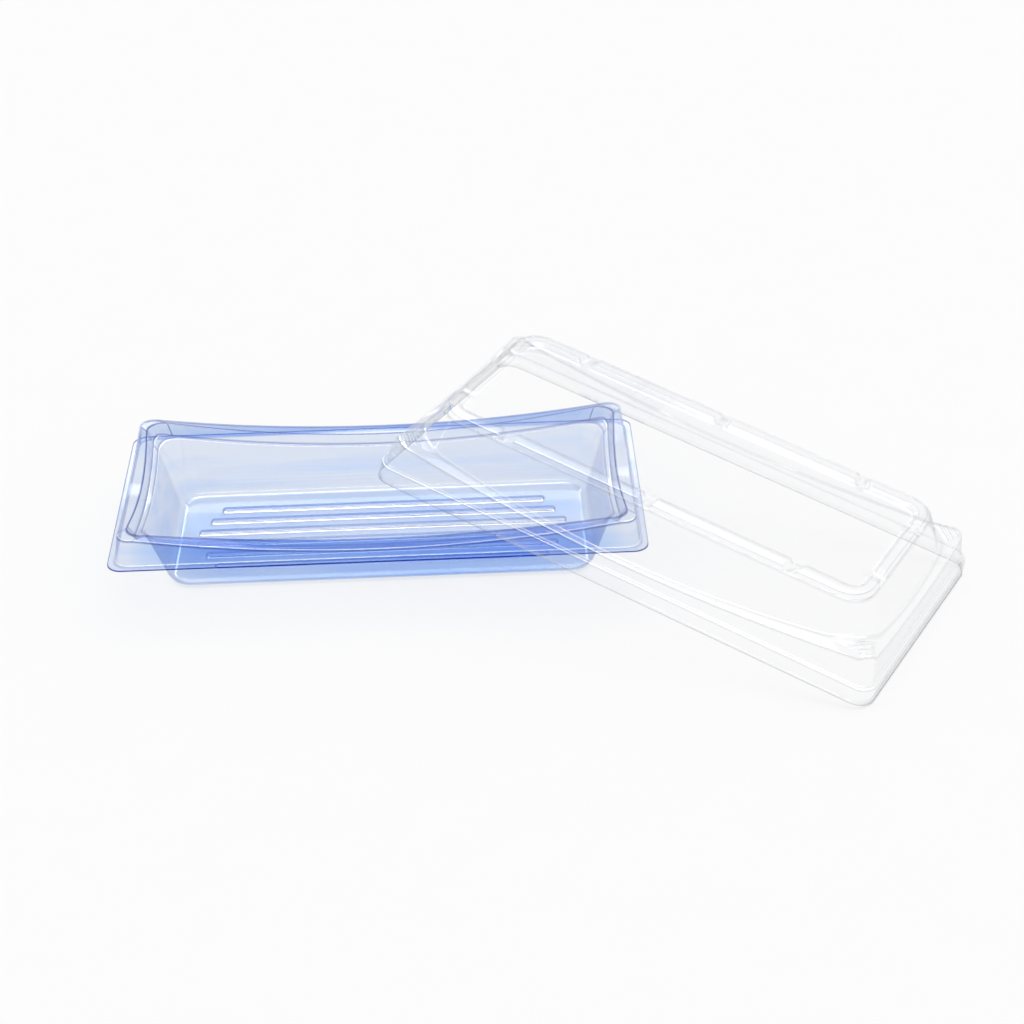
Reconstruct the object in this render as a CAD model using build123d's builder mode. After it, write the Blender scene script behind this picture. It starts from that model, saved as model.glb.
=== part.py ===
from build123d import *
import math
import os

# Sizes are in millimetres and angles in degrees.

# Sheet that the tray and the lid are formed from
wall = 0.45

# Tray: the flat lip, and the skirt that rises from it to the crest
lip_length = 216
lip_width = 107
lip_corner = 6
lip_height = 20.8
lip_flat = 3
skirt_draft = 8
crest_height = 32
crest_width = 4

# Dips of the crest along the sides and the ends, between level corners
corner_reach = 16
side_dip = 7.6
end_dip = 3.8
dip_blend = 25

# Tray: the drop behind the crest, the inner ledge and the bowl
drop_depth = 4.2
drop_draft = 22
ledge_width = 2.8
floor_length = 173
floor_width = 72
bowl_corner = 10
foot_radius = 5

# Ribs along the tray's floor, three on each side of the middle
rib_half_lengths = (77.9, 73.6, 69.3)
rib_pitch = 8.8
rib_width = 4.6
rib_height = 1.3
rib_draft = 40
rib_end = 1.4

# Lid: the band that goes round the tray's lip, and the skirt above it
rim_gap = 0.4
band_height = 7.4
band_draft = 4
step_width = 1.6
lid_draft = 12
nest_gap = 0.4

# Lid: the dome, its top panel and the bead round the panel
dome_inset = 5.6
dome_corner = 21
dome_draft = 26.5
panel_height = 31.6
bead_height = 33.4
bead_width = 8.4
end_bead_width = 6
bead_draft = 35
bead_setback = 0.4
notch_width = 4
side_notch = 61.5
end_notch = 18.9

# Lid: short ridges across each corner of the shoulder
ridge_places = (7.8, 10.4, 13)
ridge_margin = 4.6
ridge_width = 1.8
ridge_height = 0.6
ridge_draft = 20

# Lid leaning on the tray: where its rim rests on the tray's end crest, and how it is turned
rest_offset = 38
lean_reach = 157.5
lean_turn = 31
lean_gap = 0.1

# Values worked out from the sizes above
skirt_rise = crest_height - lip_height
skirt_inset = skirt_rise * math.tan(math.radians(skirt_draft))
recess_inset = lip_flat + skirt_inset + crest_width
drop_inset = drop_depth * math.tan(math.radians(drop_draft))
mouth_inset = recess_inset + drop_inset + ledge_width
side_reach = lip_length / 2 - corner_reach
end_reach = lip_width / 2 - corner_reach

band_flare = band_height * math.tan(math.radians(band_draft))
rim_margin = rim_gap + wall + band_flare
rim_length = lip_length + 2 * rim_margin
rim_width = lip_width + 2 * rim_margin
rim_corner = lip_corner + rim_margin
shoulder_height = band_height + skirt_rise + nest_gap + wall
shoulder_low = shoulder_height - side_dip


def crest_space(plane, half_length, reach, dip, level):
    """A face on the given plane, over a crest that dips softly between its level ends."""
    head_room = crest_height
    with BuildSketch(plane) as space:
        with BuildLine():
            ThreePointArc((-reach, level), (0, level - dip), (reach, level))
            Polyline(
                (reach, level),
                (half_length, level),
                (half_length, level + head_room),
                (-half_length, level + head_room),
                (-half_length, level),
                (-reach, level),
            )
        make_face()
        dip_ends = space.vertices().sort_by_distance(plane.from_local_coords((0, level)))[:2]
        fillet(dip_ends, dip_blend)
    return space.sketch


def dips(level):
    """The space over the crest, which dips along the sides and along the ends."""
    side_space = crest_space(Plane.XZ, lip_length, side_reach, side_dip, level)
    end_space = crest_space(Plane.YZ, lip_width, end_reach, end_dip, level)
    with BuildPart() as space:
        extrude(side_space, amount=lip_width, both=True)
        extrude(end_space, amount=lip_length, both=True)
    return space.part


def inset_outline(inset, corner):
    """The lip's outline, drawn in by an inset and with corners of its own."""
    return RectangleRounded(lip_length - 2 * inset, lip_width - 2 * inset, corner)


def ledge_block(skin):
    """The material under the ledge behind the crest, drawn in by the skin."""
    level = crest_height - drop_depth - skin
    with BuildPart() as block:
        with BuildSketch():
            inset_outline(recess_inset - crest_width / 2, lip_corner)
        extrude(amount=level)
        add(dips(level), mode=Mode.SUBTRACT)
    return block.part


def bowl_profile(plane, floor_half, mouth_half, skin):
    """A face across the bowl on the given plane, from the floor up to the crest's height."""
    floor_level = wall - skin
    mouth_level = crest_height - drop_depth
    slope = (mouth_half - floor_half) / (mouth_level - wall)
    top_half = mouth_half + slope * drop_depth
    with BuildSketch(plane) as profile:
        with BuildLine():
            Polyline(
                (-floor_half - skin, floor_level),
                (floor_half + skin, floor_level),
                (top_half + skin, crest_height),
                (-top_half - skin, crest_height),
                close=True,
            )
        make_face()
    return profile.sketch


def bowl_space(skin):
    """The space inside the bowl over its ribbed floor, grown by the skin."""
    long_profile = bowl_profile(Plane.XZ, floor_length / 2, lip_length / 2 - mouth_inset, skin)
    cross_profile = bowl_profile(Plane.YZ, floor_width / 2, lip_width / 2 - mouth_inset, skin)
    with BuildPart() as space:
        extrude(long_profile, amount=lip_width, both=True)
        extrude(cross_profile, amount=lip_length, both=True, mode=Mode.INTERSECT)
        corner_edges = space.edges().filter_by(Axis.X, reverse=True).filter_by(Axis.Y, reverse=True)
        fillet(corner_edges, bowl_corner + skin)
        fillet(space.faces().sort_by(Axis.Z)[0].edges(), foot_radius + skin)
        with BuildSketch(Plane.XY.offset(wall - skin)) as ribs:
            for row, half_length in enumerate(rib_half_lengths):
                row_offset = (row + 0.5) * rib_pitch
                with Locations((0, row_offset), (0, -row_offset)):
                    Rectangle(2 * (half_length - skin), rib_width - 2 * skin)
            chamfer(ribs.vertices(), rib_end)
        extrude(amount=rib_height, taper=rib_draft, mode=Mode.SUBTRACT)
    return space.part


def tray_form(skin):
    """All that lies under the tray's upper face, drawn in by the skin."""
    with BuildPart() as form:
        with BuildSketch(Plane.XY.offset(-skin)):
            inset_outline(-skin, lip_corner + skin)
        extrude(amount=lip_height)
        with BuildSketch(Plane.XY.offset(lip_height - skin)):
            inset_outline(lip_flat + skin, lip_corner)
        extrude(amount=skirt_rise, taper=skirt_draft)
        add(dips(crest_height - skin), mode=Mode.SUBTRACT)
        with BuildSketch(Plane((0, 0, crest_height), z_dir=(0, 0, -1))):
            inset_outline(recess_inset - skin, lip_corner)
        extrude(amount=drop_depth + side_dip + 2 * wall, taper=drop_draft, mode=Mode.SUBTRACT)
        add(ledge_block(skin))
        add(bowl_space(skin), mode=Mode.SUBTRACT)
    return form.part


def bead(skin, outer_inset, corner):
    """The raised bead round the lid's top panel, cut by notches into corners and bars."""
    inner_length = lip_length - 2 * (outer_inset + end_bead_width - 2 * skin)
    inner_width = lip_width - 2 * (outer_inset + bead_width - 2 * skin)
    bead_rise = bead_height - panel_height
    bead_foot = Plane.XY.offset(panel_height - skin)
    notch = notch_width + 2 * skin
    cut_length = 4 * bead_width
    with BuildPart() as ring:
        with BuildSketch(bead_foot):
            inset_outline(outer_inset, corner)
        extrude(amount=bead_rise, taper=bead_draft)
        with BuildSketch(bead_foot):
            RectangleRounded(inner_length, inner_width, corner / 2)
        extrude(amount=bead_rise, taper=-bead_draft, mode=Mode.SUBTRACT)
        with BuildSketch(bead_foot):
            with GridLocations(side_notch, lip_width - 2 * outer_inset, 3, 2):
                Rectangle(notch, cut_length)
            with GridLocations(lip_length - 2 * outer_inset, 2 * end_notch, 2, 2):
                Rectangle(cut_length, notch)
        extrude(amount=bead_rise, taper=-bead_draft, mode=Mode.SUBTRACT)
    return ring.part


def lid_form(skin):
    """All that lies under the lid's outer face, drawn in by the skin."""
    band_inset = skin - rim_margin
    skirt_foot = band_inset + band_flare + step_width
    dome_rise = panel_height - shoulder_low
    dome_lean = dome_rise * math.tan(math.radians(dome_draft))
    with BuildPart() as form:
        with BuildSketch(Plane.XY.offset(-skin)):
            inset_outline(band_inset, rim_corner)
        extrude(amount=band_height, taper=band_draft)
        with BuildSketch(Plane.XY.offset(band_height - skin)):
            inset_outline(skirt_foot, lip_corner)
        extrude(amount=shoulder_height - band_height, taper=lid_draft)
        add(dips(shoulder_height - skin), mode=Mode.SUBTRACT)
        with BuildSketch(Plane.XY.offset(shoulder_height - skin)):
            for corner_x, corner_y in ((1, 1), (-1, 1), (-1, -1), (1, -1)):
                for place in ridge_places:
                    ridge_x = lip_length / 2 - skirt_foot - place / math.sqrt(2)
                    ridge_y = lip_width / 2 - skirt_foot - place / math.sqrt(2)
                    ridge_length = 2 * (place - ridge_margin - skin)
                    with Locations((corner_x * ridge_x, corner_y * ridge_y)):
                        Rectangle(ridge_length, ridge_width - 2 * skin, rotation=-45 * corner_x * corner_y)
        extrude(amount=ridge_height, taper=ridge_draft)
        with BuildSketch(Plane.XY.offset(shoulder_low - skin)):
            inset_outline(band_inset + dome_inset, dome_corner)
        extrude(amount=dome_rise, taper=dome_draft)
        add(bead(skin, band_inset + dome_inset + dome_lean + bead_setback, dome_corner - dome_lean))
    return form.part


def end_crest(offset):
    """Height of the end's crest at an offset from its middle."""
    if abs(offset) > end_reach:
        return crest_height
    dip_radius = (end_reach**2 + end_dip**2) / (2 * end_dip)
    return crest_height - end_dip + dip_radius - math.sqrt(dip_radius**2 - offset**2)


tray_upper = tray_form(0)
tray_lower = tray_form(wall)
with BuildPart() as tray:
    add(tray_upper)
    add(tray_lower, mode=Mode.SUBTRACT)

# The lid's right end stands on the floor, and its back rim rests on the crest of the tray's right end.
rest_height = end_crest(rest_offset) + lean_gap
rest_edge = lip_length / 2 - lip_flat - (rest_height - lip_height) * math.tan(math.radians(skirt_draft))
lean_tilt = math.degrees(math.atan2(rest_height, lean_reach))
lid_along = Vector(1, 0, 0).rotate(Axis.Z, -lean_turn)
lid_across = Vector(0, 1, 0).rotate(Axis.Z, -lean_turn)
floor_run = lean_reach - rim_length / 2 * math.cos(math.radians(lean_tilt))
lid_centre = Vector(rest_edge, rest_offset, 0) + lid_along * floor_run - lid_across * (rim_width / 2)
lid_lift = rim_length / 2 * math.sin(math.radians(lean_tilt))
lid_place = Pos(lid_centre.X, lid_centre.Y, lid_lift) * Rot(0, 0, -lean_turn) * Rot(0, lean_tilt, 0)

lid_outer = lid_form(0)
lid_inner = lid_form(wall)
with BuildPart() as closed_lid:
    add(lid_outer)
    add(lid_inner, mode=Mode.SUBTRACT)
with BuildPart() as lid:
    with Locations(lid_place):
        add(closed_lid.part)

os.makedirs("parts", exist_ok=True)
tray.part.label = "tray"
export_step(tray.part, "parts/tray.step")
lid.part.label = "lid"
export_step(lid.part, "parts/lid.step")
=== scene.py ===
import math

import bmesh
import bpy
import numpy as np
from mathutils import Matrix, Vector


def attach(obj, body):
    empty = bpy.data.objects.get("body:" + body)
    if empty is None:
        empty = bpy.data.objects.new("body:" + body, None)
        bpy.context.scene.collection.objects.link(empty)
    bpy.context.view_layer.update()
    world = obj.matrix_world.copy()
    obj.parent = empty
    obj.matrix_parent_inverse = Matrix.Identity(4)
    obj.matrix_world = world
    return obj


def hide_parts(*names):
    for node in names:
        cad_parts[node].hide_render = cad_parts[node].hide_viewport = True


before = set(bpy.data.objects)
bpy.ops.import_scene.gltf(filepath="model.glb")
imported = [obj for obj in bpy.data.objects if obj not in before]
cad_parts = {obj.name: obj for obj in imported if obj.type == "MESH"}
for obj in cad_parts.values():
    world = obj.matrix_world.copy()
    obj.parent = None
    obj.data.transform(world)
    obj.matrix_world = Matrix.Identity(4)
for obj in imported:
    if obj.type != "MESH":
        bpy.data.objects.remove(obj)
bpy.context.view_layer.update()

# Tray: one thin sheet of clear blue plastic, drawn over a mould in one go.
# A flat lip runs round it, a skirt rises from the lip to a boat-curved crest,
# and behind a narrow ledge the bowl goes down to a floor with six ribs.
MM = 0.001
SHEET = 0.45

# Sizes in millimetres. Lengths and widths go from the middle.
LIP_LENGTH, LIP_WIDTH = 216 / 2, 107 / 2
LIP_CORNER = 6.0
LIP_HEIGHT = 20.8
LIP_FLAT = 3.0
LIP_EDGE = 0.6
SKIRT_LEAN = math.tan(math.radians(8))
CREST = 32.0
CREST_WIDTH = 4.0
CREST_CORNER = LIP_CORNER - 1
SIDE_REACH, SIDE_DIP = 92.0, 7.6
END_REACH, END_DIP = 37.5, 3.8
DIP_RUN_OUT = 4
DIP_SOFTNESS = 0.03
DROP = 4.2
DROP_LEAN = math.tan(math.radians(22))
LEDGE = 2.8
FLOOR_LENGTH, FLOOR_WIDTH = 173 / 2, 72 / 2
BOWL_CORNER = 10.0
FOOT_ROUND = 5.0
RIBBED_LENGTH, RIBBED_WIDTH = 79.0, 28.0
RIBS = ((4.4, 77.9), (13.2, 73.6), (22.0, 69.3))
RIB_WIDTH = 4.6
RIB_HEIGHT = 1.3
RIB_SLOPE = 1.09
RIB_END_CUT = 0.5
DIAGONAL = 1.414

# Each bend of the tray from the lip inwards: its radius, the painted shade line along it and its painted
# highlight
TRAY_BENDS = (
    (0.3, 0, 0),
    (0.8, 0.2, 0.7),
    (0.7, 0.5, 0.6),
    (0.7, 0.8, 0.2),
    (0.7, 0.4, 0.5),
    (0.9, 0.3, 0.9),
    (FOOT_ROUND, 0, 0.8),
)
BEND_STEPS = 8
CREST_BEND, MOUTH_BEND = 2, 5

# Where the crest is creased, as a share of a side's straight run, and the painted shade on the creases and on
# the lip's edge, deepest along the front
CREASE = 0.985
CREASE_HALF = 0.012
SAME_SHARE = 1e-4
CREASE_PAINTED_SHADE = 0.8
FRONT_EDGE_PAINTED_SHADE, OTHER_EDGE_PAINTED_SHADE = 1.0, 0.4

# How full the tint is: sheet gathers along the sides and thins towards the corners. The front is tinted
# deeper than the back and the front wall deeper than the other walls as painted shade, and the floor's deeper
# tint is partly painted shade.
EVEN_TINT = 0.1
MOUTH_TINT = 0.03
FLOOR_TINT = 0.36
GATHERED_AND_SHADED = {0: 0.68, 2: 0.38}
WALL_PAINTED_SHADE = {0: 0.25}
GATHER_FALL = 8
# The ribs' painted shade near their tops and painted highlight on their flanks
RIB_PAINTED_SHADE, RIB_GLINT = 5, 1.8


class Shade:
    """A socket of a node tree, so that shader maths reads as expressions."""

    def __init__(self, tree, socket=None):
        self.tree = tree
        self.socket = socket

    def node(self, kind, settings=None, inputs=None, output=0):
        """Any other node: its type, its settings, and the values or links of its sockets."""
        made = self.tree.nodes.new(kind)
        for name, value in (settings or {}).items():
            setattr(made, name, value)
        for name, value in (inputs or {}).items():
            if isinstance(value, Shade):
                self.tree.links.new(value.socket, made.inputs[name])
            else:
                made.inputs[name].default_value = value
        return Shade(self.tree, made.outputs[output] if made.outputs else None)

    def math(self, operation, first, second):
        return self.node("ShaderNodeMath", {"operation": operation}, {0: first, 1: second})

    def __add__(self, other):
        return self.math("ADD", self, other)

    def __sub__(self, other):
        return self.math("SUBTRACT", self, other)

    def __rsub__(self, other):
        return self.math("SUBTRACT", other, self)

    def __mul__(self, other):
        return self.math("MULTIPLY", self, other)

    def __pow__(self, other):
        return self.math("POWER", self, other)

    __radd__ = __add__
    __rmul__ = __mul__


def bare_tree(block):
    """An empty node tree for a material or a world."""
    block.use_nodes = True
    block.node_tree.nodes.clear()
    return Shade(block.node_tree)


# Streaks and ripple of drawn sheet, and how its tint and its shine grow where it turns edge-on
STREAK_STRETCH, STREAK_SCALE, STREAK_TINT = (0.15, 1.0, 2.5), 60.0, 1.3
RIPPLE_SCALE, RIPPLE_SHARE = 170.0, 0.3
WAVE_STRENGTH, WAVE_HEIGHT = 0.04, 0.0005
EDGE_ON_TINT, TINT_FALL = 0.7, 7
FACE_GLOSS, EDGE_ON_GLOSS, GLOSS_FALL = 0.035, 0.6, 5
FINISH, FINISH_SPREAD = 0.04, 0.05


def clear_sheet(
    name, face_tint, thick_and_shaded_tint, edge_tint, light_tint, bent_tint, bend_share, glint_share, mirror
):
    """Clear formed sheet: it tints what is behind it, most where it turns edge-on, with painted shade and
    painted highlights along its bends, and it shines.

    Lamp light and light between surfaces meet a paler tint, which keeps the shadow as pale as the real one.
    """
    material = bpy.data.materials.new(name)
    start = bare_tree(material)

    def tinted(color):
        return start.node("ShaderNodeBsdfTransparent", inputs={"Color": color})

    def mixed(share, first, second):
        return start.node("ShaderNodeMixShader", inputs={0: share, 1: first, 2: second})

    def on_mesh(layer):
        return start.node("ShaderNodeAttribute", {"attribute_name": layer}, output="Fac")

    place = start.node("ShaderNodeTexCoord", output="Object")
    streaks = start.node("ShaderNodeMapping", inputs={"Vector": place, "Scale": STREAK_STRETCH})
    drawn = start.node("ShaderNodeTexNoise", inputs={"Vector": streaks, "Scale": STREAK_SCALE, "Detail": 3.0})
    ripple = start.node("ShaderNodeTexNoise", inputs={"Vector": place, "Scale": RIPPLE_SCALE, "Detail": 2.0})
    wavy = start.node(
        "ShaderNodeBump",
        inputs={"Strength": WAVE_STRENGTH, "Distance": WAVE_HEIGHT, "Height": drawn + RIPPLE_SHARE * ripple},
    )
    turned = start.node("ShaderNodeLayerWeight", inputs={"Blend": 0.5, "Normal": wavy}, output="Facing")
    bend, glint, thick_and_shaded = on_mesh("bend"), on_mesh("glint"), on_mesh("thick_and_shaded")

    wall = mixed(thick_and_shaded + STREAK_TINT * (drawn - 0.5), tinted(face_tint), tinted(thick_and_shaded_tint))
    # Painted shade: the mesh's bend share darkens the sheet along its bends, on top of the tint that grows
    # edge-on
    edge_mask = EDGE_ON_TINT * turned**TINT_FALL + bend_share * bend
    film = mixed(edge_mask, wall, tinted(edge_tint))
    finish = FINISH + FINISH_SPREAD * ripple
    shine = start.node(
        "ShaderNodeBsdfPrincipled",
        inputs={"Base Color": mirror, "Metallic": 1.0, "Roughness": finish, "Normal": wavy},
    )
    # Painted highlight: the mesh's glint share raises the mirror along the bends, and the edge-on shine is
    # taken off where a bend's painted shade lies
    gloss = FACE_GLOSS + EDGE_ON_GLOSS * turned**GLOSS_FALL * (1 - bend) + glint_share * glint
    surface = mixed(gloss, film, shine)
    lamp_ray = start.node("ShaderNodeLightPath", output="Is Shadow Ray")
    soft_ray = start.node("ShaderNodeLightPath", output="Is Diffuse Ray")
    let_through = mixed(glint, tinted(light_tint), tinted(bent_tint))
    lit = mixed(lamp_ray + soft_ray, surface, let_through)
    start.node("ShaderNodeOutputMaterial", inputs={"Surface": lit})
    return material


SAW_SCALE = 300.0
SAW_FINISH, SAW_FINISH_SPREAD = 0.15, 0.2
SAW_SHINE, SAW_SHINE_SPREAD = 0.06, 0.16


def cut_edge(name, tint, mirror):
    """The sheet's cut edge, where light that runs inside the sheet comes out."""
    material = bpy.data.materials.new(name)
    start = bare_tree(material)
    place = start.node("ShaderNodeTexCoord", output="Object")
    sawn = start.node("ShaderNodeTexNoise", inputs={"Vector": place, "Scale": SAW_SCALE, "Detail": 2.0})
    deep = start.node("ShaderNodeBsdfTransparent", inputs={"Color": tint})
    shine = start.node(
        "ShaderNodeBsdfPrincipled",
        inputs={"Base Color": mirror, "Roughness": SAW_FINISH + SAW_FINISH_SPREAD * sawn},
    )
    shine_share = SAW_SHINE + SAW_SHINE_SPREAD * sawn
    surface = start.node("ShaderNodeMixShader", inputs={0: shine_share, 1: deep, 2: shine})
    start.node("ShaderNodeOutputMaterial", inputs={"Surface": surface})
    return material


# A bend takes at most a share of the flats beside it. Its painted shade line starts on a lead just before it
# and ends early in the bend, and its painted highlight lies further round.
ARM_SHARE = 0.48
NEARLY_STRAIGHT = 1e-4
LEAD, LEAD_SHARE = 0.7, 0.2
DARK_END = 0.3
GLINT_AT, GLINT_SPREAD, GLINT_WIDTH = 0.66, 0.3, 0.6
DARK = 5


def rounded(stops, bends, steps):
    """Profile stops (half length, half width, corner, height, tint depth, which is partly painted shade),
    with each inner bend rounded.

    A bend is (radius, its painted shade, its painted highlight), and each point ends with its own two shares.
    """
    stops = np.array(stops, float)
    out = [np.append(stops[0], (0, 0))]
    for before, turn, after, (radius, dark, glint) in zip(stops, stops[1:], stops[2:], bends):
        arms = []
        for far in (before, after):
            run = far - turn
            arms.append((run, math.hypot((run[0] + run[1]) / 2, run[3])))
        flat = [((run[0] + run[1]) / 2 / length, run[3] / length) for run, length in arms]
        cosine = max(-1, min(1, flat[0][0] * flat[1][0] + flat[0][1] * flat[1][1]))
        half_angle = math.acos(cosine) / 2
        bent = half_angle < math.pi / 2 - NEARLY_STRAIGHT
        tangent = radius / math.tan(half_angle) if bent else 0
        ends = [turn + run * min(ARM_SHARE, tangent / length) for run, length in arms]
        lead_run, lead_length = arms[0]
        out.append(np.append(ends[0] + lead_run * min(LEAD_SHARE, LEAD / lead_length), (0, 0)))
        for t in np.linspace(0, 1, steps):
            point = (1 - t) ** 2 * ends[0] + 2 * t * (1 - t) * turn + t**2 * ends[1]
            near = max(0.0, min(1.0, 2 - t / DARK_END))
            far = max(0.0, 1 - abs(t - GLINT_AT) / min(GLINT_SPREAD, GLINT_WIDTH / radius))
            out.append(np.append(point, (dark * near, glint * far)))
    out.append(np.append(stops[-1], (0, 0)))
    return np.array(out)


def outline_point(column, half_length, half_width, corner):
    """A column's point on a rounded rectangle, on a side's straight run or on the corner after it."""
    side, share, turn = column
    run_x, run_y = half_length - corner, half_width - corner
    if turn is None:
        x, y = (
            (share * run_x, -half_width),
            (half_length, share * run_y),
            (-share * run_x, half_width),
            (-half_length, -share * run_y),
        )[side]
        return x, y
    centre_x, centre_y = ((run_x, -run_y), (run_x, run_y), (-run_x, run_y), (-run_x, -run_y))[side]
    angle = math.radians(90 * side - 90 + 90 * turn)
    return centre_x + corner * math.cos(angle), centre_y + corner * math.sin(angle)


def columns_round(side_stops, end_stops, corner_steps):
    """Columns (side, share of its run, turn of its corner) round the outline, from the front left on."""
    columns = []
    for side in range(4):
        for share in end_stops if side % 2 else side_stops:
            columns.append((side, share, None))
        for step in range(1, corner_steps):
            columns.append((side, None, step / corner_steps))
    return columns


def shares(lines, half):
    """Lines on both sides of the middle, as shares of a half length."""
    return sorted({round(sign * line / half, 6) for line in lines for sign in (-1, 1)})


def eased(rise):
    """A slope from 0 to 1 with soft ends."""
    rise = max(0.0, min(1.0, rise))
    return rise * rise * (3 - 2 * rise)


SAME_POINT, SLIVER = 1e-6, 1e-7


def sheet_mesh(name, columns, profile, side_stops, end_stops, panel, lift=None):
    """A sheet of quads: each column's profile round the outline, and a grid that closes the middle."""
    mesh = bmesh.new()
    bend_layer = mesh.verts.layers.float.new("bend")
    glint_layer = mesh.verts.layers.float.new("glint")
    thick_and_shaded_layer = mesh.verts.layers.float.new("thick_and_shaded")

    def point(x, y, height, thick_and_shaded, bend, glint):
        vertex = mesh.verts.new((x * MM, y * MM, height * MM))
        vertex[bend_layer] = bend
        vertex[glint_layer] = glint
        vertex[thick_and_shaded_layer] = thick_and_shaded
        return vertex

    rows = []
    for column in columns:
        row = []
        for half_length, half_width, corner, height, thick_and_shaded, bend, glint in profile(column):
            x, y = outline_point(column, half_length, half_width, corner)
            if lift:
                height, extra = lift(x, y, height)
                bend = max(bend, extra)
            row.append(point(x, y, height, thick_and_shaded, bend, glint))
        rows.append(row)
    for row, after in zip(rows, rows[1:] + rows[:1]):
        for k in range(len(row) - 1):
            mesh.faces.new((row[k], after[k], after[k + 1], row[k + 1]))
    half_length, half_width, middle = panel
    grid = []
    for fy in end_stops:
        places = [(fx * half_length, fy * half_width) for fx in side_stops]
        grid.append([point(x, y, *middle(x, y)) for x, y in places])
    for low, high in zip(grid, grid[1:]):
        for k in range(len(low) - 1):
            mesh.faces.new((low[k], low[k + 1], high[k + 1], high[k]))
    bmesh.ops.remove_doubles(mesh, verts=mesh.verts, dist=SAME_POINT)
    bmesh.ops.dissolve_degenerate(mesh, dist=SLIVER, edges=mesh.edges)
    bmesh.ops.recalc_face_normals(mesh, faces=mesh.faces)
    data = bpy.data.meshes.new(name)
    mesh.to_mesh(data)
    mesh.free()
    data.polygons.foreach_set("use_smooth", [True] * len(data.polygons))
    return data


def gauged(name, data, face, edge):
    """The sheet as an object: its gauge goes under the modelled face, and its rim gets the cut edge."""
    sheet = bpy.data.objects.new(name, data)
    bpy.context.scene.collection.objects.link(sheet)
    data.materials.append(face)
    data.materials.append(edge)
    gauge = sheet.modifiers.new("gauge", "SOLIDIFY")
    gauge.thickness = SHEET * MM
    gauge.offset = -1
    gauge.material_offset_rim = 1
    return sheet


recess = LIP_FLAT + (CREST - LIP_HEIGHT) * SKIRT_LEAN + CREST_WIDTH
mouth = recess + DROP * DROP_LEAN + LEDGE
mouth_level = CREST - DROP
slope_x = (LIP_LENGTH - mouth - FLOOR_LENGTH) / (mouth_level - SHEET)
slope_y = (LIP_WIDTH - mouth - FLOOR_WIDTH) / (mouth_level - SHEET)


def sag(offset, reach, dip):
    """How far the crest has dipped at an offset from the middle of its side."""
    bow = (reach**2 + dip**2) / (2 * dip)
    inside = max(0.0, bow**2 - min(abs(offset), reach + DIP_RUN_OUT) ** 2)
    drop = dip - bow + math.sqrt(inside)
    return 0.5 * (drop + math.sqrt(drop**2 + DIP_SOFTNESS))


def boat_dip(x, y):
    """The crest's dip at a place: along the sides it goes by x, and along the ends by y."""
    return max(sag(x, SIDE_REACH, SIDE_DIP), sag(y, END_REACH, END_DIP))


def bend_row(bend):
    """The row of a rounded profile that lies just inside a bend, counted from the edge."""
    return 3 + bend * (BEND_STEPS + 1)


def tray_profile(column):
    """From the lip's edge up to the crest, and down to the bowl's floor."""
    def inset(amount, corner, height, thick_and_shaded):
        return LIP_LENGTH - amount, LIP_WIDTH - amount, corner, height, thick_and_shaded

    crest = CREST - boat_dip(*outline_point(column, LIP_LENGTH - recess, LIP_WIDTH - recess, LIP_CORNER))
    ledge_place = outline_point(column, LIP_LENGTH - mouth, LIP_WIDTH - mouth, BOWL_CORNER)
    ledge = mouth_level - boat_dip(*ledge_place)
    bowl_x = FLOOR_LENGTH + slope_x * (ledge - SHEET)
    bowl_y = FLOOR_WIDTH + slope_y * (ledge - SHEET)
    crest_out = LIP_FLAT + (crest - LIP_HEIGHT) * SKIRT_LEAN
    side, share, turn = column
    # Tint depth: gathered sheet fading towards the corners, with painted shade deeper along the front and on
    # the front wall
    fade = max(0.0, 1 - share**GATHER_FALL) if turn is None else 0
    thick_and_shaded = EVEN_TINT + GATHERED_AND_SHADED.get(side, 0) * fade
    wall = WALL_PAINTED_SHADE.get(side, 0) * fade
    stops = [
        inset(0, LIP_CORNER, LIP_HEIGHT, EVEN_TINT),
        inset(LIP_EDGE, LIP_CORNER, LIP_HEIGHT, EVEN_TINT),
        inset(LIP_FLAT, LIP_CORNER, LIP_HEIGHT, thick_and_shaded),
        inset(crest_out, CREST_CORNER, crest, thick_and_shaded),
        inset(recess + (CREST - crest) * DROP_LEAN, LIP_CORNER, crest, thick_and_shaded / 2),
        inset(recess + (CREST - ledge) * DROP_LEAN, LIP_CORNER, ledge, thick_and_shaded / 4),
        (bowl_x, bowl_y, BOWL_CORNER, ledge, MOUTH_TINT + wall),
        (FLOOR_LENGTH, FLOOR_WIDTH, BOWL_CORNER, SHEET, EVEN_TINT + wall),
        (RIBBED_LENGTH, RIBBED_WIDTH, 0, SHEET, FLOOR_TINT),
    ]
    points = rounded(stops, TRAY_BENDS, BEND_STEPS)
    # Painted shade along the lip's edge, deepest where it faces the front, and across the crest at its
    # creases
    faces_front = side == 0 or (side == 3 and turn is not None)
    points[0, DARK] = FRONT_EDGE_PAINTED_SHADE if faces_front else OTHER_EDGE_PAINTED_SHADE
    if turn is None and abs(abs(share) - CREASE) < SAME_SHARE:
        points[bend_row(CREST_BEND):bend_row(MOUTH_BEND), DARK] = CREASE_PAINTED_SHADE
    return points


def ribbed_floor(x, y):
    """The floor's height, raised where a rib runs, its tint depth, which is partly painted shade, and the
    painted shade and painted highlight on the ribs.
    """
    rise = 0.0
    for row, half_length in RIBS:
        across = RIB_WIDTH / 2 - abs(abs(y) - row)
        along = half_length - abs(x)
        inside = min(across, along, (across + along) / DIAGONAL - RIB_END_CUT)
        rise = max(rise, eased(inside / RIB_SLOPE))
    dark = RIB_PAINTED_SHADE * rise**2 * (1 - rise)
    glint = RIB_GLINT * math.sqrt(rise * (1 - rise))
    return SHEET + RIB_HEIGHT * rise, FLOOR_TINT, dark, glint


def crease_lines(half):
    """Grid lines for the crease across the crest at each end of its dip."""
    return [half * (CREASE - CREASE_HALF), half * CREASE, half * (CREASE + CREASE_HALF), half]


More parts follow.
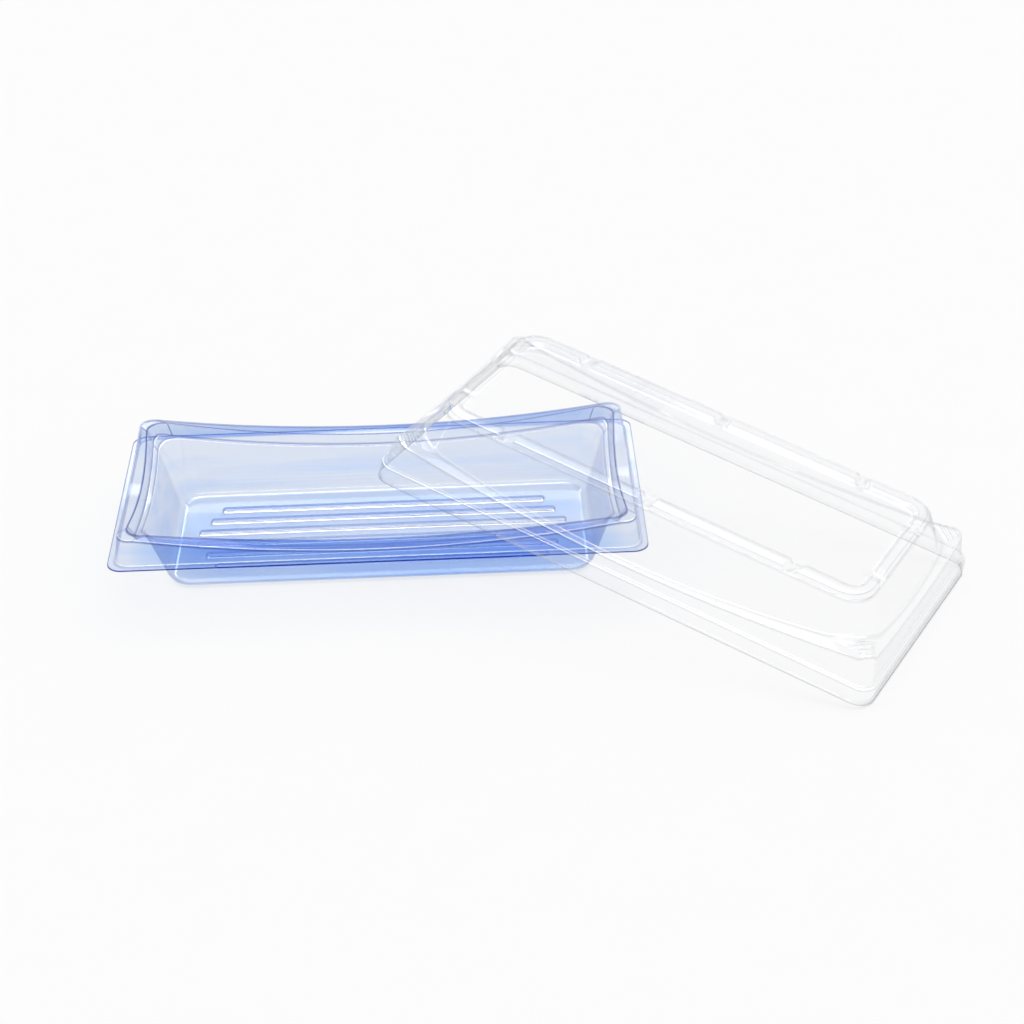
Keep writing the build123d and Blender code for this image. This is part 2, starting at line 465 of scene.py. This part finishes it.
# Grid lines across the floor lie close on the ribs' flanks and along their ends
flank_lines = (0.9, 1.25, 1.6, 1.95, 2.3, 2.8)
rib_lines = [row + sign * line for row, _ in RIBS for line in (0, *flank_lines) for sign in (-1, 1)]
rib_end_lines = list(np.arange(66.4, 78.4, 0.55))
middle_lines = list(np.linspace(0, 65, 15))
tray_ends = shares(rib_lines + crease_lines(RIBBED_WIDTH) + [0], RIBBED_WIDTH)
tray_sides = shares(rib_end_lines + middle_lines + crease_lines(RIBBED_LENGTH), RIBBED_LENGTH)
tray_data = sheet_mesh(
    "tray_sheet",
    columns_round(tray_sides, tray_ends, corner_steps=10),
    tray_profile,
    tray_sides,
    tray_ends,
    (RIBBED_LENGTH, RIBBED_WIDTH, ribbed_floor),
)
blue_sheet = clear_sheet(
    "blue_sheet",
    face_tint=(0.868, 0.9, 0.958, 1),
    thick_and_shaded_tint=(0.6, 0.745, 0.985, 1),
    edge_tint=(0.03, 0.09, 0.45, 1),
    light_tint=(0.965, 0.975, 0.99, 1),
    bent_tint=(0.66, 0.7, 0.79, 1),
    bend_share=0.85,
    glint_share=0.5,
    mirror=(0.97, 0.98, 1, 1),
)
blue_cut_edge = cut_edge("blue_cut_edge", tint=(0.01, 0.03, 0.42, 1), mirror=(0.02, 0.05, 0.42, 1))
tray = gauged("tray_sheet", tray_data, blue_sheet, blue_cut_edge)
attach(tray, "root")
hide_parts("tray")

# Lid: one thin sheet of clear plastic, drawn like the tray and leaning on it.
# Its band snaps round the tray's lip, its shoulder follows the boat-curved crest,
# and a bead cut by notches runs round the flat top panel.
RIM_LENGTH, RIM_WIDTH = 109.367, 54.867
RIM_CORNER = 7.37
BAND, BAND_FLARE = 7.4, 0.517
STEP = 1.6
LID_LEAN = math.tan(math.radians(12))
SHOULDER = 19.45
DOME_INSET = 5.6
DOME_CORNER = 21.0
DOME_LEAN = math.tan(math.radians(26.5))
PANEL = 31.6
BEAD = 33.4
BEAD_WIDTH, END_BEAD = 8.4, 6.0
BEAD_SLOPE = 1.26
BEAD_SETBACK = 0.4
PANEL_END_MARGIN, PANEL_SIDE_MARGIN = 1, 3
SIDE_NOTCHES, END_NOTCHES = (-61.5, 0.0, 61.5), (-18.9, 18.9)
NOTCH, NOTCH_TOP = 2.0, 3.3
RIDGES = (7.8, 10.4, 13.0)
RIDGE_MARGIN = 4.6
RIDGE_HALF = 0.9
RIDGE_HEIGHT = 0.6
# The ridges' foot, slope and painted shade
RIDGE_FOOT, RIDGE_SLOPE, RIDGE_PAINTED_SHADE = 0.1, 0.6, 3
LEVEL_ROOM = 0.6
SHOULDER_ROWS = 26

# Each bend of the lid from the rim inwards: its radius, the painted shade line along it and its painted
# highlight
LID_BENDS = (
    (0.7, 0.6, 0.8),
    (0.7, 0.4, 0.8),
    (0.8, 0.7, 0.9),
    (1.2, 0.4, 0.7),
    (0.9, 0.5, 0.4),
    (0.5, 0.1, 0.1),
    (0.8, 0.8, 0.6),
    (0.8, 0.7, 0.6),
    (0.7, 0.3, 0.5),
)
BENDS_TO_SHOULDER = 3

# Where the CAD model puts the middle of the leaning lid's rim, and how the lid is turned and tilted
LEAN_CENTRE = (118.299, -34.955, 21.842)
LEAN_TURN, LEAN_TILT = 31.0, 11.52

shoulder_low = SHOULDER - SIDE_DIP
skirt_in = BAND_FLARE + STEP
dome_lean = (PANEL - shoulder_low) * DOME_LEAN
dome_top = DOME_INSET + dome_lean
bead_out = dome_top + BEAD_SETBACK
bead_in = bead_out + BEAD_WIDTH
bead_end = RIM_LENGTH - bead_out - END_BEAD
bead_side = RIM_WIDTH - bead_in
bead_corner = DOME_CORNER - dome_lean
panel_length = RIM_LENGTH - bead_in - PANEL_END_MARGIN
panel_width = RIM_WIDTH - bead_in - PANEL_SIDE_MARGIN

# The line along the middle of the bead, and the straight runs between its corners
bead_middle_x = RIM_LENGTH - bead_out - BEAD_WIDTH / 2
bead_middle_y = RIM_WIDTH - bead_out - BEAD_WIDTH / 2
bead_middle_corner = 0.75 * bead_corner
bead_run_x = bead_middle_x - bead_middle_corner
bead_run_y = bead_middle_y - bead_middle_corner


def notch_rise(column):
    """1 on the bead's bars and corners, and 0 in its notches."""
    side, share, turn = column
    if turn is not None:
        return 1.0
    x, y = outline_point(column, bead_middle_x, bead_middle_y, bead_middle_corner)
    place, notches = (y, END_NOTCHES) if side % 2 else (x, SIDE_NOTCHES)
    away = min(abs(place - notch) for notch in notches)
    return eased((away - NOTCH) / (NOTCH_TOP - NOTCH))


def lid_profile(column):
    """From the rim's edge over the band, shoulder and dome to the bead and the top panel."""
    def inset(amount, corner, height):
        return RIM_LENGTH - amount, RIM_WIDTH - amount, corner, height, 0

    dome_place = outline_point(column, RIM_LENGTH - DOME_INSET, RIM_WIDTH - DOME_INSET, DOME_CORNER)
    shoulder = SHOULDER - boat_dip(*dome_place)
    top = PANEL + (BEAD - PANEL) * notch_rise(column)
    foot = DOME_INSET + (shoulder - shoulder_low) * DOME_LEAN
    stops = [
        inset(0, RIM_CORNER, 0),
        inset(BAND_FLARE, RIM_CORNER - BAND_FLARE, BAND),
        inset(skirt_in, LIP_CORNER, BAND),
        inset(skirt_in + (shoulder - BAND) * LID_LEAN, CREST_CORNER, shoulder),
        inset(foot, DOME_CORNER - (foot - DOME_INSET), shoulder),
        inset(dome_top, bead_corner, PANEL),
        inset(bead_out, bead_corner, PANEL),
        inset(bead_out + BEAD_SLOPE, bead_corner, top),
        (bead_end + BEAD_SLOPE, bead_side + BEAD_SLOPE, bead_corner / 2, top, 0),
        (bead_end, bead_side, bead_corner / 2, PANEL, 0),
        (panel_length, panel_width, 0, PANEL, 0),
    ]
    points = rounded(stops, LID_BENDS, BEND_STEPS)
    edge = BENDS_TO_SHOULDER * (BEND_STEPS + 1)
    start, end = points[edge], points[edge + 1]
    plateau = [start + (end - start) * t for t in np.linspace(0, 1, SHOULDER_ROWS)[1:-1]]
    return np.vstack([points[:edge + 1], plateau, points[edge + 1:]])


def corner_ridges(x, y, height):
    """The height with the short ridges across the shoulder's level corners, and the painted shade on them."""
    if abs(height - SHOULDER) > LEVEL_ROOM:
        return height, 0
    from_x, from_y = RIM_LENGTH - skirt_in - abs(x), RIM_WIDTH - skirt_in - abs(y)
    inward, across = (from_x + from_y) / math.sqrt(2), abs(from_x - from_y) / math.sqrt(2)
    rise = 0.0
    for place in RIDGES:
        inside = min(RIDGE_HALF - abs(inward - place), place - RIDGE_MARGIN - across)
        rise = max(rise, eased((inside + RIDGE_FOOT) / RIDGE_SLOPE))
    return height + RIDGE_HEIGHT * rise, RIDGE_PAINTED_SHADE * rise * (1 - rise)


def flat_panel(x, y):
    """The top panel is flat and bare."""
    return PANEL, 0, 0, 0


# Grid lines lie close on the notches' flanks
notch_lines = (-5, -3.9, -3.3, -2.9, -2.5, -2.1, -1.7, 0, 1.7, 2.1, 2.5, 2.9, 3.3, 3.9, 5)
side_notch_lines = [notch + line for notch in SIDE_NOTCHES for line in notch_lines]
end_notch_lines = [notch + line for notch in END_NOTCHES for line in notch_lines]
lid_sides = shares(side_notch_lines + [12, 20, 28, 36, 44, 52, 70, 75, bead_run_x], bead_run_x)
lid_ends = shares(end_notch_lines + [0, 5, 10, bead_run_y], bead_run_y)
lid_data = sheet_mesh(
    "lid_sheet",
    columns_round(lid_sides, lid_ends, corner_steps=18),
    lid_profile,
    lid_sides,
    lid_ends,
    (panel_length, panel_width, flat_panel),
    corner_ridges,
)
lid_data.transform(
    Matrix.Translation(Vector(LEAN_CENTRE) * MM)
    @ Matrix.Rotation(math.radians(-LEAN_TURN), 4, "Z")
    @ Matrix.Rotation(math.radians(LEAN_TILT), 4, "Y")
)
bare_sheet = clear_sheet(
    "clear_sheet",
    face_tint=(0.992, 0.993, 0.994, 1),
    thick_and_shaded_tint=(0.987, 0.988, 0.99, 1),
    edge_tint=(0.52, 0.53, 0.55, 1),
    light_tint=(0.993, 0.993, 0.994, 1),
    bent_tint=(0.9, 0.9, 0.91, 1),
    bend_share=0.25,
    glint_share=0.4,
    mirror=(0.98, 0.98, 0.99, 1),
)
clear_cut_edge = cut_edge("clear_cut_edge", tint=(0.6, 0.61, 0.63, 1), mirror=(0.62, 0.63, 0.65, 1))
lid = gauged("lid_sheet", lid_data, bare_sheet, clear_cut_edge)
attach(lid, "root")
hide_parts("lid")

# Floor: a plain white table top, much wider than the view and a hair below the tray.
# It takes the tray's pale blue shadow and fills the picture's background.
FLOOR_REACH, FLOOR_DROP = 6.0, 0.0003
FLOOR_SPECKLE = 40.0
COLOUR_A, COLOUR_B, COLOUR_OUT = 6, 7, 2

floor_corners = [(-1, -1), (1, -1), (1, 1), (-1, 1)]
floor_data = bpy.data.meshes.new("floor")
floor_data.from_pydata([(FLOOR_REACH * x, FLOOR_REACH * y, 0) for x, y in floor_corners], [], [(0, 1, 2, 3)])
floor = bpy.data.objects.new("floor", floor_data)
floor.location.z = -FLOOR_DROP
bpy.context.scene.collection.objects.link(floor)
table_top = bpy.data.materials.new("table_top")
top = bare_tree(table_top)
floor_place = top.node("ShaderNodeTexCoord", output="Object")
speckle = top.node("ShaderNodeTexNoise", inputs={"Vector": floor_place, "Scale": FLOOR_SPECKLE})
white = top.node(
    "ShaderNodeMix",
    {"data_type": "RGBA"},
    {"Factor": speckle, COLOUR_A: (0.955, 0.955, 0.957, 1), COLOUR_B: (0.962, 0.962, 0.962, 1)},
    output=COLOUR_OUT,
)
matt = top.node(
    "ShaderNodeBsdfPrincipled", inputs={"Base Color": white, "Roughness": 1.0, "Specular IOR Level": 0.0}
)
top.node("ShaderNodeOutputMaterial", inputs={"Surface": matt})
floor_data.materials.append(table_top)

# Light: a bright even studio with a soft sun from behind, at a plain level,
# and three long strips that only draw highlights on the glossy sheets.
ROOM_LIGHT = 0.735
BACKDROP = (0.98, 0.98, 0.98, 1)
SUN_POWER, SUN_SPREAD, SUN_FROM = 1.0, 50, (0.15, 0.45, 1)
STRIPS = (
    ("front_strip", (0.1, -1.0, 1.15), (1.8, 0.16), 5),
    ("back_strip", (0.0, 1.2, 0.69), (1.8, 0.1), 1.8),
    ("left_strip", (-1.1, -0.2, 0.7), (0.08, 1.2), 1),
)

world = bpy.data.worlds.new("studio")
bpy.context.scene.world = world
sky = bare_tree(world)
camera_ray = sky.node("ShaderNodeLightPath", output="Is Camera Ray")
glossy_ray = sky.node("ShaderNodeLightPath", output="Is Glossy Ray")
passing_ray = sky.node("ShaderNodeLightPath", output="Is Transmission Ray")
room = sky.node("ShaderNodeBackground", inputs={"Color": (1, 1, 1, 1), "Strength": ROOM_LIGHT})
backdrop = sky.node("ShaderNodeBackground", inputs={"Color": BACKDROP, "Strength": 1.0})
shown = sky.node(
    "ShaderNodeMixShader", inputs={0: camera_ray + glossy_ray + passing_ray, 1: room, 2: backdrop}
)
sky.node("ShaderNodeOutputWorld", inputs={"Surface": shown})

sun_data = bpy.data.lights.new("sun", "SUN")
sun_data.energy = SUN_POWER
sun_data.angle = math.radians(SUN_SPREAD)
sun = bpy.data.objects.new("sun", sun_data)
sun.rotation_euler = Vector(SUN_FROM).to_track_quat("Z", "Y").to_euler()
bpy.context.scene.collection.objects.link(sun)

for name, hung_at, size, power in STRIPS:
    strip_data = bpy.data.lights.new(name, "AREA")
    strip_data.shape = "RECTANGLE"
    strip_data.size, strip_data.size_y = size
    strip_data.energy = power
    strip = bpy.data.objects.new(name, strip_data)
    strip.location = hung_at
    strip.visible_diffuse = False
    strip.rotation_euler = Vector(hung_at).to_track_quat("Z", "Y").to_euler()
    bpy.context.scene.collection.objects.link(strip)

# Camera: where the photograph was taken from, level with a seated viewer about a metre away.
# It looks down at the tray's long front side, with a slight roll, through a long lens.
FOCUS_PIXELS, PICTURE_PIXELS, SENSOR = 2298.4, 1024, 36
ELEVATION, SWING, ROLL = math.radians(31.792), math.radians(-0.887), math.radians(-1.747)
AIM, DISTANCE = Vector((54.81, 13.09, 0)), 980.4
SHEETS_SEEN_THROUGH = 48

level = math.cos(ELEVATION)
back = Vector((math.sin(SWING) * level, -math.cos(SWING) * level, math.sin(ELEVATION)))
right = Vector((math.cos(SWING), math.sin(SWING), 0))
up = back.cross(right)
rolled_right = math.cos(ROLL) * right + math.sin(ROLL) * up
rolled_up = math.cos(ROLL) * up - math.sin(ROLL) * right
facing = Matrix((rolled_right, rolled_up, back)).transposed().to_4x4()
camera_data = bpy.data.cameras.new("camera")
camera_data.sensor_width = SENSOR
camera_data.lens = FOCUS_PIXELS / PICTURE_PIXELS * SENSOR
camera = bpy.data.objects.new("camera", camera_data)
camera.matrix_world = Matrix.Translation((AIM + DISTANCE * back) * MM) @ facing
bpy.context.scene.collection.objects.link(camera)
bpy.context.scene.camera = camera
bpy.context.scene.view_settings.view_transform = "Standard"
bpy.context.scene.cycles.transparent_max_bounces = SHEETS_SEEN_THROUGH
